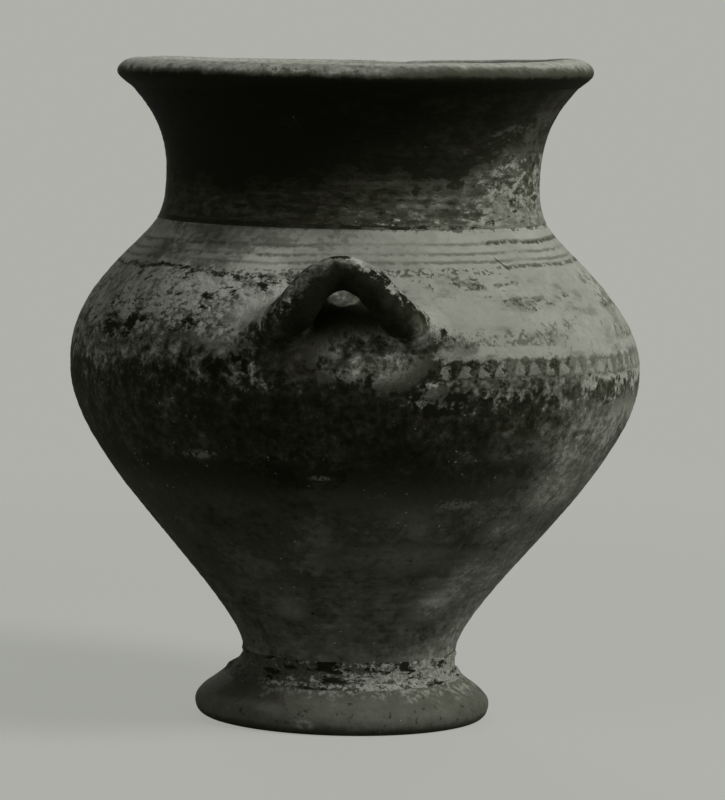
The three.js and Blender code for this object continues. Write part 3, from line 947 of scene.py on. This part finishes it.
def neck_finish(colours):
    """Near-black paint, flaked off the foot of the neck and most of all on the right."""
    f = Finish("neck_paint", colours, 0.22)
    clouds = f.noise(22, 4, 33.3)
    wear = f.noise(7, 8, 31.1, squash=(0.6, 0.6, 1.2), roughness=0.7)
    flakes = f.noise(2.6, 6, 37.7, squash=(0.6, 0.6, 1.2), roughness=0.66)
    brushed = f.noise(1.7, 4, 19.4, squash=(0.06, 0.06, 1))
    side = f.torn(f.side, (clouds, 0.16), (wear, 0.16))
    height = f.torn(f.height, (clouds, 5), (wear, 9), (flakes, 4))
    f.add((f.ramp(side, -0.4, 0.2), 0.12), (brushed, 0.1), (wear, 0.26), (flakes, 0.24))
    washed = f.ramp(f.height, 216, 196, 0.47, 0.58)
    f.toward(f.torn(washed, (flakes, 0.24), (brushed, 0.18), (wear, 0.22)), f.ramp(side, 0.1, 0.42))
    low = f.times(f.minus(200, f.height), 0.03)
    bare = f.torn(f.plus(f.times(side, 1.15), low, -0.12), (wear, 0.75), (flakes, 0.65))
    f.toward(f.torn(0.78, (flakes, 0.22)), f.ramp(bare, 0.6, 0.9))
    remains = f.noise(4.4, 7, 47.9, squash=(0.7, 0.7, 1.3), roughness=0.7)
    f.toward(0.06, f.ramp(f.torn(remains, (clouds, 0.3), (flakes, 0.2)), 0.46, 0.58), 0.85)
    edge = f.torn(PAINT_EDGE, (f.band(f.side, -0.16, 0.2, 0.1), 4), (f.ramp(f.side, 0.45, 0.8), 16))
    paint = f.ramp(f.minus(height, edge), -2.5, 2.5)
    tone = f.ramp(side, -0.7, 0, -0.12, -0.02)
    tone = f.torn(tone, (f.ramp(side, 0.1, 0.8), 0.14), (f.ramp(side, 0.8, 1), 0.22))
    f.toward(f.torn(tone, (wear, 0.16), (flakes, 0.12)), paint)
    scuffs = f.ramp(f.torn(side, (wear, 0.6), (flakes, 0.4)), 0.9, 1.15)
    f.toward(0.55, scuffs, f.ramp(f.height, 236, 226), paint, 0.7)
    f.toward(1, f.specks(6, 0.4, 0.07, 43.1), 0.75)
    foot_wear = f.ramp(f.torn(f.height, (wear, 3)), 202, 195)
    f.add((f.times(foot_wear, f.ramp(f.side, 0.1, -0.2)), 0.1))
    foot_line = f.line(f.torn(f.height, (flakes, 0.5)), NECK_FOOT, 0.6, 0.6)
    f.toward(0.08, foot_line, f.ramp(f.torn(wear, (f.side, -0.8)), -0.5, 0.2, 0.1, 0.95))
    chipped = f.ramp(f.torn(f.height, (wear, 3), (flakes, 2.4)), NECK_FOOT + 0.2, NECK_FOOT - 0.4)
    f.toward(f.torn(0.8, (flakes, 0.2)), chipped, f.ramp(f.side, -0.3, 0.4, 0.2, 0.9))
    return f.done(f.torn(0, (wear, 0.35), (flakes, 0.25), (brushed, 0.1)), 0.25)


def lip_finish(colours):
    """Pale slip on the top of the lip, rubbed and stained, over the neck's dark paint, with painted
    light and shade: paler on top and on the left, darker lower down and on the right.
    """
    f = Finish("lip_slip", colours, 0.81)
    wear = f.noise(8, 8, 41.1, roughness=0.68)
    flakes = f.noise(2.6, 6, 47.7, roughness=0.66)
    # Painted light and shade: the lip is darker on the right and paler at the far left, evening out
    # how the lamps light it, and its top is paler on the right as a painted highlight; wear and flakes
    # mottle it.
    f.add((f.side, -0.14), (wear, 0.14), (flakes, 0.1))
    f.add((f.times(f.ramp(f.height, 247.5, 249.5), f.ramp(f.side, 0, 0.5)), 0.12))
    f.add((f.ramp(f.side, -0.4, -0.9), 0.07))
    stains = f.torn(f.noise(5, 6, 57.3, roughness=0.66), (wear, 0.3))
    f.toward(0.5, f.ramp(stains, 0.24, 0.6), f.ramp(f.side, -0.7, -0.1, 0.35, 0.8))
    # Painted shade: the lower part of the rounded lip is darker, most of all on the right; below it
    # the neck's dark paint begins.
    lower = f.torn(f.height, (wear, 1), (flakes, 0.5), (f.ramp(f.side, 0, 0.6), -0.9))
    f.toward(0.46, f.ramp(lower, 249.2, 246.2), f.ramp(f.side, -0.1, 0.35, 0.05, 0.9))
    f.toward(0.35, f.ramp(lower, 247, 245), 0.75)
    f.toward(0.03, f.ramp(lower, 245.4, 244))
    f.toward(f.torn(0.95, (flakes, 0.15)), f.ramp(f.radius, 87, 84.5), f.ramp(lower, 245, 247.5))
    return f.done(f.torn(0, (wear, 0.4), (flakes, 0.3)), 0.35)


def foot_finish(colours):
    """Smooth grey clay, wiped round the wheel, with lime along its upper edge and painted shade along
    its bottom edge.
    """
    f = Finish("foot_clay", colours, 0.6)
    wear = f.noise(9, 7, 51.1, roughness=0.64)
    flakes = f.noise(2.6, 6, 57.7, roughness=0.64)
    wiped = f.noise(2, 4, 29.4, squash=(0.1, 0.1, 1))
    f.add((wear, 0.05), (flakes, 0.04), (wiped, 0.03))
    scale = f.torn(f.height, (f.sideways(12), 2.6), (wear, 3), (flakes, 1.6))
    f.toward(0.88, f.ramp(scale, 13.4, 15.6), f.ramp(flakes, -0.2, 0.35), 0.75)
    f.sink(0.14, f.band(f.torn(f.turn, (wear, 12)), -62, -34, 8), f.ramp(f.height, 9, 12))
    # Painted shade: the bottom edge of the foot is darkened.
    f.toward(0.3, f.ramp(f.torn(f.height, (wear, 1)), 4.2, 0.8), 0.8)
    pocks = f.torn(f.noise(4, 6, 59.3, roughness=0.7), (flakes, 0.3))
    f.toward(0.3, f.ramp(pocks, 0.42, 0.6), 0.7)
    smudge = f.patch(-17, 4.2, 6, 2.4, (wear, 0.4), (flakes, 0.3))
    f.toward(0.86, smudge, f.ramp(flakes, -0.5, 0.3, 0.2, 0.9))
    f.toward(1, f.specks(2.6, 0.34, 0.1, 53.3), 0.7)
    return f.done(f.torn(0, (wear, 0.3), (flakes, 0.25), (wiped, 0.1)), 0.25)


def crust_finish(colours):
    """Broken lime over the joint of foot and body, dark where it has fallen away."""
    f = Finish("foot_joint_crust", colours, 0.55)
    wear = f.noise(5, 8, 61.1, squash=(1, 1, 1.5), roughness=0.74)
    flakes = f.noise(1.5, 6, 67.7, roughness=0.7)
    f.add((flakes, 0.12))
    kept = f.torn(0, (f.sideways(10), 0.5), (wear, 0.9), (flakes, 0.5))
    f.toward(f.torn(0.88, (flakes, 0.2)), f.ramp(kept, 0.05, 0.3))
    lost = f.torn(f.noise(7.5, 6, 73.9, squash=(0.6, 0.6, 2), roughness=0.66), (flakes, 0.15))
    f.toward(0.06, f.ramp(lost, 0.25, 0.45), 0.92)
    blocks = f.torn(f.noise(9, 4, 79.5, squash=(1, 1, 1.2), roughness=0.6), (flakes, 0.2))
    blocks = f.times(f.ramp(blocks, 0.06, 0.2), f.band(f.height, 22.6, 27, 1))
    f.toward(0.05, blocks, f.band(f.turn, -40, 46, 10), 0.9)
    seam = f.line(f.torn(f.height, (wear, 0.9), (flakes, 0.6)), 17, 0.4, 0.7)
    f.toward(0.95, seam, f.band(f.turn, -40, 30, 12), f.ramp(flakes, -0.3, 0.2), 0.9)
    return f.done(f.torn(wear, (flakes, 0.6)), 0.35)


def handle_finish(colours):
    """Dark paint on the handles, rubbed to grey on one leg and flaked off the other; the downward
    faces of the rubbed leg are painted black as painted shade.
    """
    f = Finish("handle_paint", colours, 0.1)
    wear = f.noise(7, 8, 11.1, roughness=0.7)
    flakes = f.noise(2.8, 6, 7.7, roughness=0.66)
    f.add((wear, 0.18), (flakes, 0.16))
    normal = add_node(f.tree, "NewGeometry").outputs["Normal"]
    upward = add_node(f.tree, "SeparateXYZ", normal).outputs["Z"]
    from_handle = f.from_handle()
    left = f.ramp(f.torn(from_handle, (wear, 2.5)), 2, -1)
    rubbed = f.ramp(f.torn(upward, (wear, 0.2), (flakes, 0.12)), 0.24, 0.85)
    f.toward(f.torn(0.76, (wear, 0.12), (flakes, 0.16)), rubbed, left)
    # Painted shade: the downward faces of the left leg are painted black.
    f.toward(0, left, f.ramp(upward, 0.3, -0.05), 0.85)
    torn_edge = f.ramp(f.torn(upward, (wear, 0.5), (flakes, 0.45)), 0.48, 0.74)
    f.toward(f.torn(0.8, (flakes, 0.2)), torn_edge, f.rest(left))
    along = f.torn(from_handle, (flakes, 0.6))
    chipped_top = f.ramp(f.torn(upward, (flakes, 0.2)), 0.72, 0.85)
    f.toward(1, f.band(along, -0.2, 2.4, 0.5), chipped_top, 0.9)
    f.toward(0.12, f.band(along, -3.4, 0, 0.6), f.ramp(f.torn(upward, (flakes, 0.3)), 0.85, 1))
    ends = f.ramp(f.torn(f.math("ABSOLUTE", from_handle), (wear, 2), (flakes, 1)), 9, 13.5)
    f.toward(root_tone(f, from_handle, wear, flakes), ends, f.ramp(upward, 0.7, 0.3))
    f.toward(
        f.torn(0.62, (flakes, 0.6), (wear, 0.5)),
        f.ramp(f.torn(from_handle, (wear, 3), (flakes, 2)), -5, -9),
        f.ramp(f.torn(upward, (wear, 0.4), (flakes, 0.4)), 0.05, 0.4),
        0.9,
    )
    f.toward(0.95, f.specks(5, 0.4, 0.12, 93.3), 0.7)
    return f.done(f.torn(0, (wear, 0.5), (flakes, 0.3)), 0.3)


def inside_finish(colours):
    """Bare clay inside, ringed by the wheel and stained by what was kept in it."""
    known = bpy.data.materials.get("inside_clay")
    if known:
        return known
    f = Finish("inside_clay", colours, 0.7)
    wear = f.noise(12, 7, 101.1, roughness=0.66)
    flakes = f.noise(2.6, 6, 107.7, roughness=0.64)
    ringed = f.noise(2.6, 4, 109.4, squash=(0.08, 0.08, 1))
    f.add((wear, 0.1), (flakes, 0.06), (ringed, 0.05))
    f.toward(0.35, f.ramp(f.height, 150, 40), f.ramp(wear, -0.2, 0.5), 0.8)
    f.toward(0.12, f.ramp(f.torn(f.height, (wear, 4), (flakes, 2)), 231, 236))
    return f.done(f.torn(0, (ringed, 0.4), (flakes, 0.3)), 0.35)


class BowlJarForm(bpy.types.PropertyGroup):
    """How the jar is made: the fineness of its meshes and the marks of hand and wheel."""

    around: IntProperty(
        name="Steps around", description="Points in one turn of the wheel",
        default=360, min=48, max=1440,
    )
    row_step: FloatProperty(
        name="Row step", description="Distance between rows along an outline",
        default=0.001, min=0.0004, max=0.01, unit="LENGTH", precision=4,
    )
    unevenness: FloatProperty(
        name="Unevenness", description="How far the wall wanders off its outline",
        default=0.0004, min=0, max=0.003, unit="LENGTH", precision=5,
    )
    ridges: FloatProperty(
        name="Throwing ridges", description="Height of the ridges left by the wheel",
        default=0.00006, min=0, max=0.001, unit="LENGTH", precision=5,
    )
    grit: FloatProperty(
        name="Grit", description="Height of the grain of the worn clay",
        default=0.00007, min=0, max=0.0005, unit="LENGTH", precision=5,
    )
    crust: FloatProperty(
        name="Lime crust", description="Height of the crust over the joint of foot and body",
        default=0.0016, min=0, max=0.004, unit="LENGTH", precision=4,
    )
    lip_wear: FloatProperty(
        name="Lip wear", description="Depth of the dents along the lip",
        default=0.0004, min=0, max=0.003, unit="LENGTH", precision=4,
    )
    handle_press: FloatProperty(
        name="Handle press", description="Depth of the finger marks on the handles",
        default=0.0004, min=0, max=0.002, unit="LENGTH", precision=4,
    )


def colour_setting(name, description, default):
    """A colour that the finishes are mixed from."""
    return FloatVectorProperty(
        name=name, description=description, default=default,
        size=3, min=0, max=1, subtype="COLOR",
    )


class BowlJarColours(bpy.types.PropertyGroup):
    """The slips, paints and clays that the finishes are mixed from."""

    dark_paint: colour_setting(
        "Dark paint", "Near-black paint on the neck and handles", (0.0070, 0.0074, 0.0044)
    )
    body_wash: colour_setting(
        "Body wash", "Dark wash over the belly", (0.0179, 0.0184, 0.0106)
    )
    grey_clay: colour_setting(
        "Grey clay", "Clay of the lower body and foot", (0.046, 0.0470, 0.0345)
    )
    pale_slip: colour_setting(
        "Pale slip", "Rubbed slip on the shoulder and lip", (0.117, 0.1190, 0.0965)
    )
    lime: colour_setting(
        "Lime", "Clean slip, crust and specks of lime", (0.30, 0.305, 0.262)
    )


class BowlJarStage(bpy.types.PropertyGroup):
    """The floor, the light and the camera."""

    floor: colour_setting("Floor", "Colour of the floor and the room", (0.43, 0.437, 0.403))
    shadow: FloatProperty(
        name="Shadow", description="How strongly shadows show on the floor",
        default=0.35, min=0, max=1, subtype="FACTOR",
    )
    key_power: FloatProperty(
        name="Key light", description="Power of the soft light from the upper right",
        default=48, min=0, max=500, unit="POWER",
    )
    fill_power: FloatProperty(
        name="Fill light", description="Power of the weak light from the left",
        default=12, min=0, max=500, unit="POWER",
    )
    back_power: FloatProperty(
        name="Back light", description="Power of the weak light from behind",
        default=18, min=0, max=500, unit="POWER",
    )
    room: FloatProperty(
        name="Room", description="Brightness of the light from all round",
        default=0.06, min=0, max=2, subtype="FACTOR",
    )
    camera_height: FloatProperty(
        name="Camera height", description="Angle of the camera above the level",
        default=math.radians(5.07), subtype="ANGLE", unit="ROTATION",
    )
    camera_roll: FloatProperty(
        name="Camera roll", description="Turn of the camera about its own axis",
        default=math.radians(1.3), subtype="ANGLE", unit="ROTATION",
    )
    camera_distance: FloatProperty(
        name="Camera distance", description="From the camera to the point it aims at",
        default=1.586, min=0.5, max=10, unit="LENGTH",
    )


class JarOperator:
    """What the jar's operators share."""

    bl_options = {"REGISTER", "UNDO"}

    def settings(self, context):
        scene = context.scene
        return scene.bowl_jar_form, scene.bowl_jar_colours


class BOWLJAR_OT_foot(JarOperator, bpy.types.Operator):
    """Turns the foot and the crusted joint above it"""

    bl_idname = "bowl_jar.foot"
    bl_label = "Foot"

    def execute(self, context):
        form, colours = self.settings(context)
        turn_piece("foot", [foot_finish(colours), inside_finish(colours)], form)
        turn_piece("foot_lute", [crust_finish(colours)], form)
        return {"FINISHED"}


class BOWLJAR_OT_body(JarOperator, bpy.types.Operator):
    """Turns the lower body and the shoulder with the joint between them"""

    bl_idname = "bowl_jar.body"
    bl_label = "Body"

    def execute(self, context):
        form, colours = self.settings(context)
        finishes = [body_finish(colours), inside_finish(colours)]
        turn_piece("lower_body", finishes, form, capped=True)
        turn_piece("belly_lute", finishes, form)
        turn_piece("shoulder", finishes, form)
        return {"FINISHED"}


class BOWLJAR_OT_neck(JarOperator, bpy.types.Operator):
    """Turns the flaring neck and the lip with their joints, after the body"""

    bl_idname = "bowl_jar.neck"
    bl_label = "Neck and lip"

    def execute(self, context):
        form, colours = self.settings(context)
        inside = inside_finish(colours)
        paint = neck_finish(colours)
        turn_piece("neck_lute", [bpy.data.materials["body_slip"], inside], form)
        turn_piece("neck", [paint, inside], form)
        turn_piece("lip_lute", [paint, inside], form)
        turn_piece("lip", [lip_finish(colours)], form)
        return {"FINISHED"}


class BOWLJAR_OT_handles(JarOperator, bpy.types.Operator):
    """Bends the two loop handles and smears their roots on to the shoulder, after the body"""

    bl_idname = "bowl_jar.handles"
    bl_label = "Handles"

    def execute(self, context):
        form, colours = self.settings(context)
        paint = handle_finish(colours)
        slip = bpy.data.materials["body_slip"]
        for face, turn in HANDLE_TURNS.items():
            make_handle(face, turn, form, paint)
            for side in (-1, 1):
                make_collar(face, turn, side, form, slip)
        return {"FINISHED"}


def seen_rays(tree):
    """One for the rays that show a surface or the room, nought for the rays that light."""
    rays = add_node(tree, "LightPath").outputs
    seen = rays["Is Camera Ray"]
    for kind in ("Is Glossy Ray", "Is Transmission Ray"):
        seen = add_node(tree, "Math", seen, rays[kind], operation="MAXIMUM").outputs[0]
    return seen


def floor_paper(colour, shadow):
    """Plain pale paper that keeps the jar's faint shadow and turns into the room further off."""
    material = bpy.data.materials.new("floor_paper")
    material.use_nodes = True
    tree = material.node_tree
    paper = tree.nodes["Principled BSDF"]
    paper.inputs["Base Color"].default_value = (*(PAPER_TONE * part for part in colour), 1)
    paper.inputs["Roughness"].default_value = 0.95
    paper.inputs["Specular IOR Level"].default_value = 0.1
    place = add_node(tree, "TexCoord").outputs["Object"]
    away = add_node(tree, "VectorMath", place, operation="LENGTH").outputs["Value"]
    plain = add_ramp(tree, away, *SHADOW_REACH, 1 - shadow, 1)
    glow = add_ramp(tree, away, *SHADOW_REACH, NEAR_GLOW, 1)
    share = add_node(tree, "Math", seen_rays(tree), plain, operation="MULTIPLY").outputs[0]
    pale = add_node(tree, "Emission", (*colour, 1), glow).outputs[0]
    mix = add_node(tree, "MixShader", share, paper.outputs[0], pale)
    tree.links.new(mix.outputs[0], tree.nodes["Material Output"].inputs["Surface"])
    return material


def make_floor(colour, shadow):
    """A wide round floor, in rings about the jar."""
    radii = FLOOR_RADIUS * (np.arange(1, FLOOR_RINGS + 1) / FLOOR_RINGS) ** 2
    outline = np.stack([radii, np.zeros(FLOOR_RINGS)], axis=1)
    points, _ = swept(outline, outline, FLOOR_SIDES)
    faces = [corners[::-1] for corners in ring_faces(FLOOR_RINGS, FLOOR_SIDES, closed=False)]
    faces.append(list(range(FLOOR_SIDES)))
    mesh = bpy.data.meshes.new("floor")
    mesh.from_pydata(points.tolist(), [], faces)
    mesh.materials.append(floor_paper(colour, shadow))
    sheet = bpy.data.objects.new("floor", mesh)
    bpy.context.scene.collection.objects.link(sheet)


def make_room(colour, strength):
    """The room: a weak even light from all round, seen in the floor's own colour."""
    world = bpy.data.worlds.new("room")
    world.use_nodes = True
    tree = world.node_tree
    light = tree.nodes["Background"]
    light.inputs["Color"].default_value = (1, 1, 1, 1)
    light.inputs["Strength"].default_value = strength
    pale = add_node(tree, "Background", (*colour, 1))
    mix = add_node(tree, "MixShader", seen_rays(tree), light.outputs[0], pale.outputs[0])
    tree.links.new(mix.outputs[0], tree.nodes["World Output"].inputs["Surface"])
    bpy.context.scene.world = world


def make_lamp(name, place, size, power):
    """A soft round lamp that looks at the middle of the jar."""
    light = bpy.data.lights.new(name, "AREA")
    light.shape = "DISK"
    light.size = size
    light.energy = power
    lamp = bpy.data.objects.new(name, light)
    way = Vector(AIM) * MM - Vector(place)
    facing = way.to_track_quat("-Z", "Y").to_matrix().to_4x4()
    lamp.matrix_world = Matrix.Translation(place) @ facing
    lamp.visible_camera = False
    bpy.context.scene.collection.objects.link(lamp)


def make_camera(stage):
    """The camera at the picture's viewpoint."""
    lens = bpy.data.cameras.new("camera")
    lens.sensor_fit = "VERTICAL"
    lens.sensor_height = SENSOR
    lens.lens = FOCAL_PIXELS * SENSOR / PICTURE_HEIGHT
    camera = bpy.data.objects.new("camera", lens)
    back = Vector((0, -math.cos(stage.camera_height), math.sin(stage.camera_height)))
    level = Vector((1, 0, 0))
    up = back.cross(level)
    roll = stage.camera_roll
    right = level * math.cos(roll) + up * math.sin(roll)
    upright = up * math.cos(roll) - level * math.sin(roll)
    place = Vector(AIM) * MM + back * stage.camera_distance
    camera.matrix_world = Matrix.Translation(place) @ Matrix(
        (right, upright, back)
    ).transposed().to_4x4()
    bpy.context.scene.collection.objects.link(camera)
    bpy.context.scene.camera = camera


class BOWLJAR_OT_stage(JarOperator, bpy.types.Operator):
    """Sets the floor, the room, the soft lamps and the camera"""

    bl_idname = "bowl_jar.stage"
    bl_label = "Stage"

    def execute(self, context):
        scene = context.scene
        stage = scene.bowl_jar_stage
        make_floor(tuple(stage.floor), stage.shadow)
        make_room(tuple(stage.floor), stage.room)
        for name, (place, size) in LAMPS.items():
            make_lamp(name, place, size, getattr(stage, name + "_power"))
        scene.view_settings.view_transform = "Standard"
        make_camera(stage)
        return {"FINISHED"}


class BOWLJAR_PT_panel(bpy.types.Panel):
    """Lists the steps of making the jar"""

    bl_idname = "BOWLJAR_PT_panel"
    bl_label = "Bowl jar"
    bl_space_type = "VIEW_3D"
    bl_region_type = "UI"
    bl_category = "Bowl Jar"

    def draw(self, context):
        for step in STEPS:
            self.layout.operator(step.bl_idname)
        for settings in SETTINGS:
            group = getattr(context.scene, settings)
            for name in group.__annotations__:
                self.layout.prop(group, name)


STEPS = (
    BOWLJAR_OT_foot, BOWLJAR_OT_body, BOWLJAR_OT_neck, BOWLJAR_OT_handles, BOWLJAR_OT_stage,
)
SETTINGS = {
    "bowl_jar_form": BowlJarForm,
    "bowl_jar_colours": BowlJarColours,
    "bowl_jar_stage": BowlJarStage,
}


def register():
    for kind in (*SETTINGS.values(), *STEPS, BOWLJAR_PT_panel):
        bpy.utils.register_class(kind)
    for name, group in SETTINGS.items():
        setattr(bpy.types.Scene, name, PointerProperty(type=group))


def unregister():
    for name in SETTINGS:
        delattr(bpy.types.Scene, name)
    for kind in (BOWLJAR_PT_panel, *reversed(STEPS), *SETTINGS.values()):
        bpy.utils.unregister_class(kind)


def main():
    register()
    bpy.ops.bowl_jar.foot()
    bpy.ops.bowl_jar.body()
    bpy.ops.bowl_jar.neck()
    bpy.ops.bowl_jar.handles()
    bpy.ops.bowl_jar.stage()


if __name__ == "__main__":
    main()
